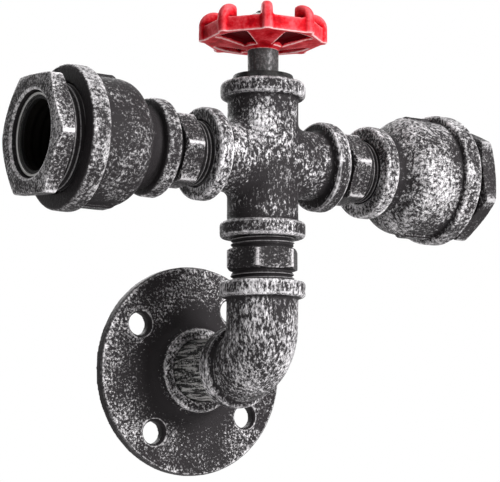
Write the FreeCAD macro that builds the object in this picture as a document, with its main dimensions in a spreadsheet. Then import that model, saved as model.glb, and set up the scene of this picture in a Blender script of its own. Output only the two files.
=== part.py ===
import FreeCAD, Part
import math
import os
import Sketcher

# Industrial pipe wall light with two lampholders and a red valve wheel.
#
# Frame: the wall is the plane Y = 0 and the light stands out along -Y. The origin is the centre
# of the flange's back face, +Z is up, and the two arms run along -X (left) and +X (right).
# All sizes are millimetres.

SIZES = {
    # three-quarter inch pipe thread and the fittings cast for it
    "thread_r": 13.0,          # outer radius of the pipe thread
    "thread_gap": 0.05,        # radial clearance of a pipe thread in its port
    "thread_depth": 10.0,      # how far a pipe thread goes into a port
    "passage_r": 11.0,         # inner passage of the castings
    "tube_bore_r": 9.75,       # bore of the nipples
    "neck_r": 14.6,            # body radius of elbow and cross
    "arm_neck_r": 14.3,        # body radius of the cross's side branches
    "band_r": 18.75,           # reinforcing band round each port of an arm
    "column_band_r": 17.5,     # the same band on the upright ports
    "elbow_band_r": 16.9,      # the same band on the elbow's wall port
    "band_w": 6.7,             # width of that band
    "band_edge": 0.9,          # bevel at the band's rims
    # wall flange
    "flange_r": 44.5,
    "flange_edge": 5.0,        # thickness at the rim
    "flange_root": 5.8,        # thickness at the foot of the hub
    "flange_bevel": 0.8,
    "hub_r": 18.0,
    "hub_h": 11.5,             # from the wall to the hub's face
    "hub_foot": 4.5,           # radius of the hollow blend round the hub
    "screw_circle_r": 32.5,
    "screw_hole_r": 4.6,
    "screw_sink_r": 5.8,       # mouth of the screw hole's countersink
    "screw_sink_depth": 1.6,
    "flange_turn": 9.2,        # degrees by which the screw holes are turned off the diagonals
    # elbow
    "nipple_show": 24.0,       # wall nipple between hub and elbow
    "elbow_run": 22.0,         # centre to the port that faces the wall
    "elbow_rise": 33.7,        # centre to the upper port
    "bend_r": 16.5,
    "port_land": 0.5,          # passage between the bend and the wall port's thread
    # cross
    "cross_reach": 32.0,       # centre to each port
    "cross_blend": 4.0,
    # hex nipples
    "hex_af": 27.0,            # across the flats
    "hex_w": 8.6,
    "hex_bevel": 0.9,
    "left_hex_turn": 4.6,      # degrees by which each nipple ends up turned
    "right_hex_turn": -7.7,
    "lower_hex_turn": 18.5,
    "thread_show": 4.45,       # thread left in view on each side of the hex
    # bell reducer
    "mouth_band_r": 19.6,      # band at the small port
    "waist_r": 16.0,
    "waist_end": 7.7,          # small port to the start of the swelling
    "bell_start": 22.5,        # small port to the full width
    "waist_curve": 7.0,        # radius of the hollow curve of the swelling
    "bell_r": 25.0,
    "bell_band_r": 28.15,
    "bell_band_w": 8.1,
    "reducer_len": 44.0,
    "bell_wall": 3.6,
    "rib_w": 6.0,
    "rib_h": 1.1,
    "rib_run": 5.0,            # how far a rib reaches down the swelling
    # hex bushing
    "bush_thread_r": 20.9,
    "bush_depth": 18.6,        # thread inside the reducer
    "bush_show": 5.1,          # thread between reducer and head
    "bush_head_w": 7.0,
    "bush_af": 45.2,
    "bush_bevel": 1.2,
    "left_bush_turn": -4.5,    # degrees by which each bushing ends up turned
    "right_bush_turn": 24.0,
    "bush_bore_r": 16.7,
    "bush_mouth_r": 17.5,      # mouth of the bore's bevel
    "bush_mouth_depth": 0.8,
    "bush_lip_r": 12.0,
    "bush_lip_w": 2.0,
    # lampholder
    "sleeve_r": 15.6,
    "sleeve_wall": 0.6,
    "sleeve_rim_r": 16.2,      # rolled edge
    "sleeve_rim_w": 1.0,
    "sleeve_set_back": 2.2,    # rolled edge behind the bushing's face
    "seat_gap": 0.05,          # clearance between pieces that seat on each other
    "insulator_set_back": 1.2,
    "base_w": 7.0,             # base of the insulator
    "shell_bore_r": 13.3,      # inside of the screw shell
    "shell_wall": 0.4,
    "shell_len": 14.8,
    "button_room": 1.6,        # recess for the centre contact, behind the shell
    "ledge_r": 12.2,           # inner radius of the ledge that the shell stands on
    "chamber_w": 2.0,          # space for the contact tails
    "tail_w": 0.6,             # thickness of the contact strips
    "tail_breadth": 3.0,
    "pin_r": 0.9,              # centre contact's pin
    "button_r": 3.2,
    "button_w": 1.3,
    # lampholder fixing
    "stud_r": 4.95,
    "stud_bore_r": 3.5,
    "stud_len": 13.0,
    "stud_grip": 2.8,          # stud inside the insulator
    "plate_r": 17.5,
    "plate_w": 1.2,
    "stud_nut_af": 14.0,
    "stud_nut_w": 3.0,
    # leads and crimps
    "lead_r": 1.0,
    "lead_apart": 1.75,        # each lead's distance from the arm's axis
    "lead_turn_r": 5.0,        # bend of a lead in the cross
    "lead_ease_r": 40.0,       # gentle bend of a lead in the reducer
    "crimp_r": 3.6,
    "crimp_bore_r": 2.85,
    "crimp_len": 12.0,
    "crimp_clear": 0.8,        # clearance between crimps and stem
    "crimp_apart": 4.3,        # crimp axis to the cross's axis
    "lead_spread": 1.35,       # lead's place in the crimp
    # valve
    "plug_r": 12.7,
    "plug_h": 3.0,
    "plug_top_r": 12.2,
    "plug_depth": 9.0,
    "stem_r": 6.35,
    "journal_r": 4.5,
    "running_gap": 0.05,       # radial clearance of the stem in the plug
    "end_float": 0.3,          # axial clearance of the turning pieces
    "wheel_lift": 45.5,        # cross centre to the underside of the wheel's hub
    "washer_w": 1.0,
    "washer_r": 7.5,
    "clip_w": 0.8,
    "clip_r": 6.2,
    "groove_r": 3.8,
    "stem_tail": 1.2,          # stem left below the clip
    "tang": 7.0,               # square of the stem's tang
    "tang_gap": 0.1,
    "stem_thread_r": 3.0,
    "stem_thread_len": 8.0,
    "wheel_washer_r": 6.2,
    "wheel_nut_af": 10.0,
    "wheel_nut_w": 5.0,
    # handwheel
    "wheel_r": 26.5,           # out to the knuckles
    "wheel_corner_r": 25.6,    # corner of the eight-sided rim
    "rim_w": 4.4,
    "rim_lift": 3.5,
    "rim_h": 6.3,
    "knuckle_r": 6.2,
    "knuckle_w": 4.6,
    "knuckle_edge": 1.9,
    "wheel_h": 16.0,
    "wheel_hub_r": 6.9,
    "wheel_hub_h": 9.0,
    "web_w": 4.2,
    "pocket_in": 1.6,          # pocket in the web to the hub
    "pocket_half": 17.0,       # half the angle that a pocket takes
    "pocket_under": 2.4,       # depth of a pocket from below
    "pocket_over": 0.6,
    "wheel_turn": 15.0,        # angle of the first knuckle from +X
}
KNUCKLES = 8
POCKETS = 4
SCREWS = 4
RIBS = 2

doc = FreeCAD.newDocument("pipe_wall_light")
sheet = doc.addObject("Spreadsheet::Sheet", "Sizes")
for row, (alias, number) in enumerate(SIZES.items(), start=1):
    sheet.set("A%d" % row, alias)
    sheet.set("B%d" % row, "%r" % number)
    sheet.setAlias("B%d" % row, alias)
doc.recompute()


class Size:
    """A number and the sheet formula that it comes from."""

    def __init__(self, number, formula):
        self.number = number
        self.formula = formula

    def joined(self, other, sign, number):
        other = as_size(other)
        return Size(number, "(%s %s %s)" % (self.formula, sign, other.formula))

    def __add__(self, other):
        return self.joined(other, "+", self.number + as_size(other).number)

    def __sub__(self, other):
        return self.joined(other, "-", self.number - as_size(other).number)

    def __mul__(self, other):
        return self.joined(other, "*", self.number * as_size(other).number)

    def __truediv__(self, other):
        return self.joined(other, "/", self.number / as_size(other).number)

    def __neg__(self):
        return Size(-self.number, "(0 - %s)" % self.formula)


def as_size(value):
    if isinstance(value, Size):
        return value
    return Size(float(value), "%.10f" % value)


def size(alias):
    return Size(float(SIZES[alias]), "Sizes." + alias)


def bind(thing, prop, value):
    """Tie one property to its formula in the sheet."""
    value = as_size(value)
    thing.setExpression(prop, value.formula)


def origin_part(body, role):
    return next(part for part in body.Origin.OriginFeatures if part.Role == role)


def place(thing, at=(0, 0, 0), turn=None):
    """Set a piece's rotation, and tie its place to the sheet."""
    if turn is not None:
        thing.Placement = FreeCAD.Placement(FreeCAD.Vector(), turn)
    for letter, value in zip("xyz", at):
        if isinstance(value, Size):
            bind(thing, "Placement.Base." + letter, value)


def new_body(name):
    body = doc.addObject("PartDesign::Body", name)
    body.Label = name
    return body


def outline(body, name, plane, corners, lift=None):
    """Closed sketch through corners (x, y) or (x, y, radius, turn), where the side that leaves
    the corner is an arc of that radius, turning left (+1) or right (-1)."""
    sketch = body.newObject("Sketcher::SketchObject", name)
    sketch.AttachmentSupport = (origin_part(body, plane), [""])
    sketch.MapMode = "FlatFace"
    if lift is not None:
        bind(sketch, "AttachmentOffset.Base.z", lift)
    corners = [tuple(as_size(v) if i < 3 else v for i, v in enumerate(c)) for c in corners]
    starts = []
    ends = []
    for here, there in zip(corners, corners[1:] + corners[:1]):
        a = FreeCAD.Vector(here[0].number, here[1].number, 0)
        b = FreeCAD.Vector(there[0].number, there[1].number, 0)
        if len(here) == 2:
            index = sketch.addGeometry(Part.LineSegment(a, b), False)
            starts.append((index, 1))
            ends.append((index, 2))
            continue
        radius, turn = here[2].number, here[3]
        chord = b - a
        rise = math.sqrt(max(radius ** 2 - chord.Length ** 2 / 4, 0.0))
        side = FreeCAD.Vector(-chord.y, chord.x, 0).normalize() * rise * turn
        centre = (a + b) * 0.5 + side
        first, last = (a, b) if turn > 0 else (b, a)
        angles = [math.atan2(p.y - centre.y, p.x - centre.x) for p in (first, last)]
        circle = Part.Circle(centre, FreeCAD.Vector(0, 0, 1), radius)
        index = sketch.addGeometry(Part.ArcOfCircle(circle, *angles), False)
        starts.append((index, 1 if turn > 0 else 2))
        ends.append((index, 2 if turn > 0 else 1))
        rule = sketch.addConstraint(Sketcher.Constraint("Radius", index, radius))
        sketch.setExpression("Constraints[%d]" % rule, here[2].formula)
    for i, corner in enumerate(corners):
        sketch.addConstraint(Sketcher.Constraint("Coincident", *ends[i - 1], *starts[i]))
        for kind, axis, value in (("DistanceX", -2, corner[0]), ("DistanceY", -1, corner[1])):
            if value.number == 0:
                sketch.addConstraint(Sketcher.Constraint("PointOnObject", *starts[i], axis))
                continue
            rule = sketch.addConstraint(
                Sketcher.Constraint(kind, -1, 1, *starts[i], value.number))
            sketch.setExpression("Constraints[%d]" % rule, value.formula)
    return sketch


def lathe(body, name, plane, axis, corners, cut=False, angle=360, lift=None):
    """Turned form: a profile revolved about one axis of its sketch, added or cut away."""
    sketch = outline(body, name + "_profile", plane, corners, lift)
    kind = "PartDesign::Groove" if cut else "PartDesign::Revolution"
    turned = body.newObject(kind, name)
    turned.Profile = sketch
    turned.ReferenceAxis = (sketch, [axis])
    turned.Angle = angle
    sketch.Visibility = False
    return turned


def turned_piece(name, corners):
    """Body turned about its own X axis: each corner is (along, radius)."""
    body = new_body(name)
    lathe(body, name + "_turning", "XY_Plane", "H_Axis", corners)
    return body


def polygon(across, sides, turn):
    """Corners of a regular polygon of a width across its flats."""
    corner = across * (0.5 / math.cos(math.pi / sides))
    angles = [math.radians(turn + 360 * i / sides) for i in range(sides)]
    return [(corner * math.cos(a), corner * math.sin(a)) for a in angles]


def prism(body, name, plane, corners, start, length):
    """Straight block raised from a sketch that lies at start along the plane's normal."""
    sketch = outline(body, name + "_profile", plane, corners, start)
    pad = body.newObject("PartDesign::Pad", name)
    pad.Profile = sketch
    bind(pad, "Length", length)
    return pad


def pocket(body, name, plane, corners, start, length, reverse=False):
    sketch = outline(body, name + "_profile", plane, corners, start)
    cut = body.newObject("PartDesign::Pocket", name)
    cut.Profile = sketch
    bind(cut, "Length", length)
    cut.Reversed = reverse
    return cut


def turn_about(sketch, axis, angle):
    """Turn a sketch about one axis of the body, in degrees."""
    sketch.AttachmentOffset = FreeCAD.Placement(FreeCAD.Vector(), FreeCAD.Rotation(axis, angle))


def repeat(body, name, feature, axis, count):
    """The same feature all round an axis."""
    pattern = body.newObject("PartDesign::PolarPattern", name)
    pattern.Originals = [feature]
    pattern.Axis = (origin_part(body, axis), [""])
    pattern.Angle = 360
    pattern.Occurrences = count
    body.Tip = pattern
    return pattern


def hex_ring(body, name, across, start, width, bevel, turn=0.0):
    """Hexagon round the X axis, with the corners beveled off at both faces."""
    prism(body, name, "YZ_Plane", polygon(across, 6, turn), start, width)
    corner = across / 2 / math.cos(math.pi / 6)
    flat = across / 2
    outside = corner + 1
    end = start + width
    rise = (outside - flat) / (corner - flat)
    lathe(body, name + "_inner_bevel", "XY_Plane", "H_Axis",
          [(start, flat), (start, outside), (start + bevel * rise, outside)], cut=True)
    lathe(body, name + "_outer_bevel", "XY_Plane", "H_Axis",
          [(end, flat), (end - bevel * rise, outside), (end, outside)], cut=True)


def check(name, shape_owner):
    """Stop if a piece failed, so that nothing broken is written."""
    shape = shape_owner.Shape
    if shape.isNull() or not shape.isValid() or not shape.Solids:
        raise RuntimeError("%s has no valid solid" % name)


# Sizes that several pieces share
port_r = size("thread_r") + size("thread_gap")
nipple_gap = size("hex_w") + size("thread_show") * 2
stem_end = (size("plug_depth") + size("end_float") + size("washer_w") + size("clip_w")
            + size("stem_tail"))
crimp_lift = size("cross_reach") - stem_end - size("crimp_clear") - size("crimp_len")
axis_out = size("hub_h") + size("nipple_show") + size("elbow_run")
elbow_thread = size("elbow_run") - size("bend_r") - size("port_land")
cross_z = size("elbow_rise") + nipple_gap + size("cross_reach")
arm_start = size("cross_reach")
reducer_start = arm_start + nipple_gap
bell_face = reducer_start + size("reducer_len")
bush_face = bell_face + size("bush_show") + size("bush_head_w")
bush_back = bell_face - size("bush_depth")
sleeve_back = bush_back + size("bush_lip_w") + size("seat_gap")
sleeve_front = bush_face - size("sleeve_set_back")
base_back = sleeve_back + size("sleeve_wall") + size("seat_gap")
base_front = base_back + size("base_w")
shell_back = base_front + size("button_room")
tail_back = base_back + size("stud_grip") + size("chamber_w") / 2
LEFT = FreeCAD.Rotation(FreeCAD.Vector(0, 1, 0), 180)
RIGHT = FreeCAD.Rotation()
UP = FreeCAD.Rotation(FreeCAD.Vector(0, 1, 0), -90)
OUT_OF_WALL = FreeCAD.Rotation(FreeCAD.Vector(0, 0, 1), -90)
SIDES = {"left": LEFT, "right": RIGHT}
on_axis = (0, -axis_out, cross_z)
pieces = {}


def make_wall_flange():
    """Round floor flange: disc that thickens to a threaded hub, with four screw holes."""
    body = new_body("wall_flange")
    rim, edge, root = size("flange_r"), size("flange_edge"), size("flange_root")
    bevel, hub, foot = size("flange_bevel"), size("hub_r"), size("hub_foot")
    face = size("hub_h")
    lathe(body, "flange_turning", "XY_Plane", "H_Axis", [
        (0, port_r), (0, rim), (edge - bevel, rim), (edge, rim - bevel),
        (root, hub + foot, foot, 1), (root + foot, hub), (face - bevel, hub),
        (face, hub - bevel), (face, port_r + bevel), (face - bevel, port_r)])
    hole, sink, deep = size("screw_hole_r"), size("screw_sink_r"), size("screw_sink_depth")
    circle = size("screw_circle_r")
    fall = (root - edge) / (rim - bevel - hub - foot)
    skin = root - fall * (circle - hub - foot)
    drill = outline(body, "screw_hole_profile", "XY_Plane", [
        (0, circle), (0, circle + hole), (skin - deep, circle + hole), (skin, circle + sink),
        (root * 2, circle + sink), (root * 2, circle)])
    turn_about(drill, FreeCAD.Vector(1, 0, 0), SIZES["flange_turn"] + 180 / SCREWS)
    level = FreeCAD.Vector(0, circle.number, 0)
    drill.addGeometry(Part.LineSegment(level, level + FreeCAD.Vector(root.number * 2, 0, 0)), True)
    drill.addConstraint(Sketcher.Constraint("Coincident", 6, 1, 0, 1))
    drill.addConstraint(Sketcher.Constraint("Coincident", 6, 2, 5, 1))
    cut = body.newObject("PartDesign::Groove", "screw_hole")
    cut.Profile = drill
    cut.ReferenceAxis = (drill, ["Axis0"])
    cut.Angle = 360
    repeat(body, "screw_holes", cut, "X_Axis", SCREWS)
    place(body, turn=OUT_OF_WALL)
    return body


def make_wall_nipple():
    """Short length of pipe, threaded at both ends, from the flange to the elbow."""
    bevel = size("flange_bevel")
    start = size("hub_h") - size("thread_depth")
    end = size("hub_h") + size("nipple_show") + elbow_thread - size("seat_gap")
    radius, bore = size("thread_r"), size("tube_bore_r")
    body = turned_piece("wall_nipple", [
        (start, bore), (start, radius - bevel), (start + bevel, radius), (end - bevel, radius),
        (end, radius - bevel), (end, bore)])
    place(body, turn=OUT_OF_WALL)
    return body


def make_elbow():
    """Cast elbow: a swept quarter bend between a port facing the wall and one facing up."""
    body = new_body("elbow")
    bend, run, rise = size("bend_r"), size("elbow_run"), size("elbow_rise")
    neck, bore, width = size("neck_r"), size("passage_r"), size("band_w")
    ring, small = size("column_band_r"), size("elbow_band_r")
    quarters = (("elbow_bend", neck, False), ("elbow_passage", bore, True))

    def quarter(name, radius, cut):
        sketch = body.newObject("Sketcher::SketchObject", name + "_profile")
        sketch.AttachmentSupport = (origin_part(body, "XY_Plane"), [""])
        sketch.MapMode = "FlatFace"
        bind(sketch, "AttachmentOffset.Base.z", bend)
        up = FreeCAD.Vector(0, 0, 1)
        sketch.addGeometry(Part.Circle(FreeCAD.Vector(), up, radius.number), False)
        sketch.addConstraint(Sketcher.Constraint("Coincident", 0, 3, -1, 1))
        rule = sketch.addConstraint(Sketcher.Constraint("Radius", 0, radius.number))
        sketch.setExpression("Constraints[%d]" % rule, radius.formula)
        ends = (FreeCAD.Vector(-5, bend.number, 0), FreeCAD.Vector(5, bend.number, 0))
        sketch.addGeometry(Part.LineSegment(*ends), True)
        sketch.addConstraint(Sketcher.Constraint("Horizontal", 1))
        sketch.addConstraint(Sketcher.Constraint("DistanceX", 1, 1, -1, 1, 5))
        sketch.addConstraint(Sketcher.Constraint("DistanceX", -1, 1, 1, 2, 5))
        rule = sketch.addConstraint(Sketcher.Constraint("DistanceY", -1, 1, 1, 1, bend.number))
        sketch.setExpression("Constraints[%d]" % rule, bend.formula)
        kind = "PartDesign::Groove" if cut else "PartDesign::Revolution"
        turned = body.newObject(kind, name)
        turned.Profile = sketch
        turned.ReferenceAxis = (sketch, ["Axis0"])
        turned.Angle = 90

    quarter(*quarters[0])
    edge = size("band_edge")
    lathe(body, "elbow_rise_turning", "XZ_Plane", "V_Axis", [
        (0, bend), (neck, bend), (neck, rise - width), (ring - edge, rise - width),
        (ring, rise - width + edge), (ring, rise - edge), (ring - edge, rise), (0, rise)])
    lathe(body, "elbow_run_turning", "YZ_Plane", "H_Axis", [
        (run - width, 0), (run - width, small - edge),
        (run - width + edge, small), (run - edge, small), (run, small - edge), (run, 0)])
    quarter(*quarters[1])
    deep = size("thread_depth") + size("seat_gap")
    lathe(body, "elbow_rise_port", "XZ_Plane", "V_Axis", [
        (0, bend), (bore, bend), (bore, rise - deep), (port_r, rise - deep),
        (port_r, rise - edge), (port_r + edge, rise), (0, rise)], cut=True)
    lathe(body, "elbow_run_port", "YZ_Plane", "H_Axis", [
        (bend, 0), (bend, bore), (run - elbow_thread, bore),
        (run - elbow_thread, port_r), (run - edge, port_r), (run, port_r + edge), (run, 0)],
        cut=True)
    place(body, (0, -axis_out, 0), RIGHT)
    return body


def make_cross():
    """Cast four-way cross: two crossing necks blended together, with a band at each port."""
    body = new_body("pipe_cross")
    reach, width, edge, ring = size("cross_reach"), size("band_w"), size("band_edge"), size("band_r")
    bore, deep = size("passage_r"), size("thread_depth") + size("seat_gap")
    tall = size("column_band_r")
    lathe(body, "cross_upright", "XZ_Plane", "V_Axis", [
        (0, -reach), (size("neck_r"), -reach), (size("neck_r"), reach), (0, reach)])
    arms = lathe(body, "cross_arms", "XY_Plane", "H_Axis", [
        (-reach, 0), (-reach, size("arm_neck_r")), (reach, size("arm_neck_r")), (reach, 0)])
    doc.recompute()
    seams = []
    for index, seam in enumerate(arms.Shape.Edges, start=1):
        box = seam.BoundBox
        near = max(abs(box.XMin), abs(box.XMax)) < SIZES["neck_r"] + 0.01
        if near and box.ZLength > 1 and not isinstance(seam.Curve, Part.Circle):
            seams.append("Edge%d" % index)
    blend = body.newObject("PartDesign::Fillet", "cross_blend")
    blend.Base = (arms, seams)
    bind(blend, "Radius", size("cross_blend"))
    for side in (-1, 1):
        name = "right" if side > 0 else "left"
        lathe(body, "cross_%s_band" % name, "XY_Plane", "H_Axis", [
            ((reach - width) * side, 0), ((reach - width) * side, ring - edge),
            ((reach - width + edge) * side, ring), ((reach - edge) * side, ring),
            (reach * side, ring - edge), (reach * side, 0)])
        name = "upper" if side > 0 else "lower"
        lathe(body, "cross_%s_band" % name, "XZ_Plane", "V_Axis", [
            (0, (reach - width) * side), (tall - edge, (reach - width) * side),
            (tall, (reach - width + edge) * side), (tall, (reach - edge) * side),
            (tall - edge, reach * side), (0, reach * side)])
    port = [(-reach, port_r + edge), (-reach + edge, port_r), (-reach + deep, port_r),
            (-reach + deep, bore), (reach - deep, bore), (reach - deep, port_r),
            (reach - edge, port_r), (reach, port_r + edge)]
    lathe(body, "cross_arm_bore", "XY_Plane", "H_Axis", [(-reach, 0)] + port + [(reach, 0)],
          cut=True)
    upright = [(r, along) for along, r in port]
    lathe(body, "cross_upright_bore", "XZ_Plane", "V_Axis",
          [(0, -reach)] + upright + [(0, reach)], cut=True)
    place(body, on_axis, RIGHT)
    return body


def make_hex_nipple(name, at, turn, hex_turn):
    """Hexagon nipple: pipe thread on both sides of a hexagon, with a groove beside it."""
    body = new_body(name)
    deep, show, width = size("thread_depth"), size("thread_show"), size("hex_w")
    radius, bore, bevel = size("thread_r"), size("tube_bore_r"), size("hex_bevel")
    start, end = -deep, show * 2 + width + deep
    lathe(body, name + "_turning", "XY_Plane", "H_Axis", [
        (start, bore), (start, radius - bevel), (start + bevel, radius),
        (show - bevel * 2, radius), (show - bevel, radius - bevel), (show, radius - bevel),
        (show + width, radius - bevel), (show + width + bevel, radius - bevel),
        (show + width + bevel * 2, radius), (end - bevel, radius), (end, radius - bevel),
        (end, bore)])
    across = size("hex_af")
    doc.recompute()
    ring = polygon(across, 6, SIZES[hex_turn])
    prism(body, name + "_hex", "YZ_Plane", ring, show, width)
    flat, corner = across / 2, across / 2 / math.cos(math.pi / 6)
    outside = corner + 1
    rise = (outside - flat) / (corner - flat)
    for label, face, way in (("near", show, 1), ("far", show + width, -1)):
        lathe(body, "%s_%s_bevel" % (name, label), "XY_Plane", "H_Axis",
              [(face, flat), (face, outside), (face + bevel * rise * way, outside)], cut=True)
    lathe(body, name + "_bore", "XY_Plane", "H_Axis",
          [(start, 0), (start, bore), (end, bore), (end, 0)], cut=True)
    place(body, at, turn)
    return body


def make_bell_reducer(side):
    """Cast bell reducer: small banded port, hollow waist, bell with two ribs, large band."""
    name = side + "_bell_reducer"
    body = new_body(name)
    edge, width, length = size("band_edge"), size("band_w"), size("reducer_len")
    waist, bell, ring = size("waist_r"), size("bell_r"), size("bell_band_r")
    start, full, curve = size("waist_end"), size("bell_start"), size("waist_curve")
    big = length - size("bell_band_w")
    run, rise = full - start, bell - waist
    both = (run * run + rise * rise) / (rise * 2)
    share = curve / both
    turn = (start + run * share, waist + rise * share)
    deep = size("thread_depth") + size("seat_gap")
    bush_r = size("bush_thread_r") + size("thread_gap")
    small = size("mouth_band_r")
    flare = start + size("bell_wall")
    lathe(body, name + "_turning", "XY_Plane", "H_Axis", [
        (0, port_r + edge), (0, small - edge), (edge, small), (width - edge, small),
        (width, small - edge), (width, waist), (start, waist, curve, 1),
        turn + (both - curve, -1), (full, bell), (big, bell), (big, ring - edge),
        (big + edge, ring), (length - edge, ring), (length, ring - edge),
        (length, bush_r + edge), (length - edge, bush_r), (full + edge, bush_r),
        (flare, size("passage_r")), (deep, size("passage_r")), (deep, port_r), (edge, port_r)])
    top = bell + size("rib_h")
    low = bell - size("bell_wall") / 2
    rib = prism(body, name + "_rib", "XZ_Plane", [
        (full - size("rib_run"), low), (full, top), (big + edge, top), (big + edge, low)],
        -size("rib_w") / 2, size("rib_w"))
    repeat(body, name + "_ribs", rib, "X_Axis", RIBS)
    place_on_arm(body, side, reducer_start)
    return body


def place_on_arm(thing, side, along):
    """Put a piece that is modelled along +X at its distance along one arm."""
    if side == "left":
        place(thing, (-along, -axis_out, cross_z), LEFT)
    else:
        place(thing, (along, -axis_out, cross_z), RIGHT)


def make_hex_bushing(side):
    """Hexagon bushing: closes the bell and carries the lampholder on an inner lip."""
    name = side + "_hex_bushing"
    body = new_body(name)
    edge, radius = size("band_edge"), size("bush_thread_r")
    back, head = -size("bush_depth"), size("bush_show")
    face = head + size("bush_head_w")
    bore, mouth, lip = size("bush_bore_r"), size("bush_mouth_r"), size("bush_lip_r")
    lathe(body, name + "_turning", "XY_Plane", "H_Axis", [
        (back, 0), (back, radius - edge), (back + edge, radius), (head - edge, radius),
        (head, radius - edge), (face, radius - edge), (face, 0)])
    across, bevel = size("bush_af"), size("bush_bevel")
    prism(body, name + "_hex", "YZ_Plane", polygon(across, 6, SIZES[side + "_bush_turn"]), head,
          size("bush_head_w"))
    flat, corner = across / 2, across / 2 / math.cos(math.pi / 6)
    outside = corner + 1
    rise = (outside - flat) / (corner - flat)
    for label, rim, way in (("near", head, 1), ("far", face, -1)):
        lathe(body, "%s_%s_bevel" % (name, label), "XY_Plane", "H_Axis",
              [(rim, flat), (rim, outside), (rim + bevel * rise * way, outside)], cut=True)
    step = back + size("bush_lip_w")
    lathe(body, name + "_bore", "XY_Plane", "H_Axis", [
        (back, 0), (back, lip), (step, lip), (step, bore),
        (face - size("bush_mouth_depth"), bore), (face, mouth), (face, 0)], cut=True)
    place_on_arm(body, side, bell_face)
    return body


def make_socket_sleeve(side):
    """Drawn metal sleeve of the lampholder, with a rolled edge and a holed bottom."""
    wall, radius, rim = size("sleeve_wall"), size("sleeve_r"), size("sleeve_rim_r")
    width, gap = size("sleeve_rim_w"), size("seat_gap")
    length = sleeve_front - sleeve_back
    hole = size("stud_r") + gap
    roll = width / 3
    body = turned_piece(side + "_socket_sleeve", [
        (0, hole), (0, radius), (length - width, radius), (length - width, rim - roll),
        (length - width + roll, rim), (length - roll, rim), (length, rim - roll),
        (length, radius - wall + roll), (length - roll, radius - wall), (wall, radius - wall),
        (wall, hole)])
    place_on_arm(body, side, sleeve_back)
    return body


def make_socket_insulator(side):
    """Moulded insulator: base with a chamber for the contact tails and a skirt round the shell."""
    name = side + "_socket_insulator"
    body = new_body(name)
    gap = size("seat_gap")
    length = sleeve_front - base_back - size("insulator_set_back")
    outer = size("sleeve_r") - size("sleeve_wall") - gap
    inner = size("shell_bore_r") + size("shell_wall") + gap
    chamber = size("stud_grip") + size("chamber_w")
    ledge = size("base_w") + size("button_room")
    lathe(body, name + "_turning", "XY_Plane", "H_Axis", [
        (0, size("stud_r") + gap), (0, outer), (length, outer), (length, inner),
        (ledge, inner), (ledge, size("ledge_r")), (size("base_w"), size("ledge_r")),
        (size("base_w"), size("pin_r") + gap),
        (chamber, size("pin_r") + gap), (chamber, size("stud_r") + gap)])
    half = size("tail_breadth") / 2 + gap
    slot = tail_back - base_back - gap
    deep = size("tail_w") + gap * 2
    reach = size("shell_bore_r") + size("shell_wall")
    pocket(body, name + "_slot", "YZ_Plane",
           [(0, -half), (reach, -half), (reach, half), (0, half)], slot, deep, reverse=True)
    step = reach - size("tail_w") - gap * 2
    pocket(body, name + "_riser", "YZ_Plane",
           [(step, -half), (reach, -half), (reach, half), (step, half)], slot,
           ledge - slot + gap, reverse=True)
    place_on_arm(body, side, base_back)
    return body


def make_screw_shell(side):
    """Brass screw shell of the lampholder."""
    bore, wall = size("shell_bore_r"), size("shell_wall")
    length = size("shell_len")
    body = turned_piece(side + "_screw_shell", [
        (0, bore), (0, bore + wall), (length, bore + wall), (length, bore)])
    place_on_arm(body, side, shell_back + size("seat_gap"))
    return body


def make_centre_contact(side):
    """Brass centre contact: a button on a pin, riveted to the tail of the live lead."""
    name = side + "_centre_contact"
    body = new_body(name)
    half, thick = size("tail_breadth") / 2, size("tail_w")
    pin = size("pin_r")
    long = size("lead_apart") + size("lead_r")
    pin_end = base_front - tail_back + size("seat_gap")
    prism(body, name + "_tail", "YZ_Plane",
          [(-long, -half), (pin / 2, -half), (pin / 2, half), (-long, half)], as_size(0), thick)
    button, tall = size("button_r"), size("button_w")
    lathe(body, name + "_pin", "XY_Plane", "H_Axis", [
        (0, 0), (0, pin / 2), (thick, pin / 2), (thick, pin), (pin_end, pin), (pin_end, button),
        (pin_end + tall / 2, button), (pin_end + tall, button / 2), (pin_end + tall, 0)])
    place_on_arm(body, side, tail_back)
    return body


def make_shell_contact(side):
    """Brass strip from the tail of the neutral lead to the rear edge of the screw shell."""
    name = side + "_shell_contact"
    half, thick = size("tail_breadth") / 2, size("tail_w")
    inner = size("pin_r") + size("seat_gap") * 2
    reach = size("shell_bore_r") + size("shell_wall") - size("seat_gap")
    rise = shell_back - tail_back
    body = new_body(name)
    prism(body, name + "_strip", "XY_Plane",
          [(0, inner), (0, reach), (rise, reach), (rise, reach - thick), (thick, reach - thick),
           (thick, inner)], -half, half * 2)
    place_on_arm(body, side, tail_back)
    return body


def make_lamp_stud(side):
    """Hollow threaded stud that holds the lampholder to the bushing and carries the leads."""
    bevel = size("seat_gap") * 10
    radius, bore, length = size("stud_r"), size("stud_bore_r"), size("stud_len")
    body = turned_piece(side + "_lamp_stud", [
        (0, bore), (0, radius - bevel), (bevel, radius), (length, radius), (length, bore)])
    place_on_arm(body, side, base_back + size("stud_grip") - length)
    return body


def make_stud_plate(side):
    """Round plate that bears on the back of the bushing."""
    body = turned_piece(side + "_stud_plate", [
        (0, size("stud_r") + size("seat_gap")), (0, size("plate_r")),
        (size("plate_w"), size("plate_r")), (size("plate_w"), size("stud_r") + size("seat_gap"))])
    place_on_arm(body, side, bush_back - size("seat_gap") - size("plate_w"))
    return body


def make_hex_nut(name, across, width, bore):
    """Plain hexagon nut about its own X axis."""
    body = new_body(name)
    hex_ring(body, name + "_hex", across, as_size(0), width, across / 20)
    lathe(body, name + "_bore", "XY_Plane", "H_Axis",
          [(0, 0), (0, bore), (width, bore), (width, 0)], cut=True)
    return body


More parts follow.
